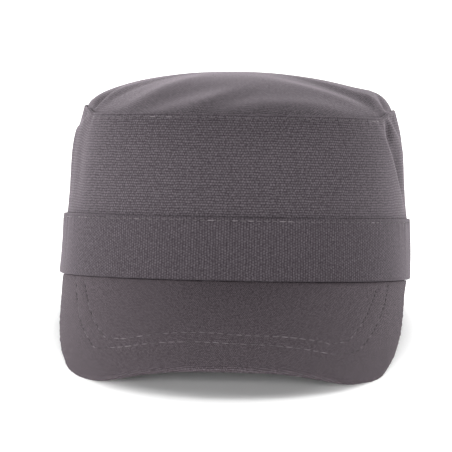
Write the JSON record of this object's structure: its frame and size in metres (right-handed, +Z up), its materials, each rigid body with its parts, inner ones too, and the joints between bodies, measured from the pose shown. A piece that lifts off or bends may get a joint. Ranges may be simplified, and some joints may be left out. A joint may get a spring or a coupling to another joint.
{
  "type": "soft army-style cap",
  "caption": "Soft army-style cap of plain grey cotton: a low domed oval crown, a wide folded band and a curved, cloth-covered peak. It rests as it lies by itself.",
  "frame": {"origin": "on the surface the cap rests on, under the centre of its bounding box", "axes": "+Z up; the peak points towards -Y; +X is to the wearer's left"},
  "size_m": [0.176, 0.2572, 0.1231],
  "materials": {
    "crown_cloth": "matt ribbed cotton, mid grey",
    "band_cloth": "matt ribbed cotton, mid grey, ribs upright",
    "peak_cloth": "matt plain cotton, mid grey"
  },
  "bodies": {
    "root": {"band": "band_cloth", "peak": "peak_cloth", "crown_front": "crown_cloth", "crown_back": "crown_cloth", "crown_top": "crown_cloth"}
  },
  "joints": []
}
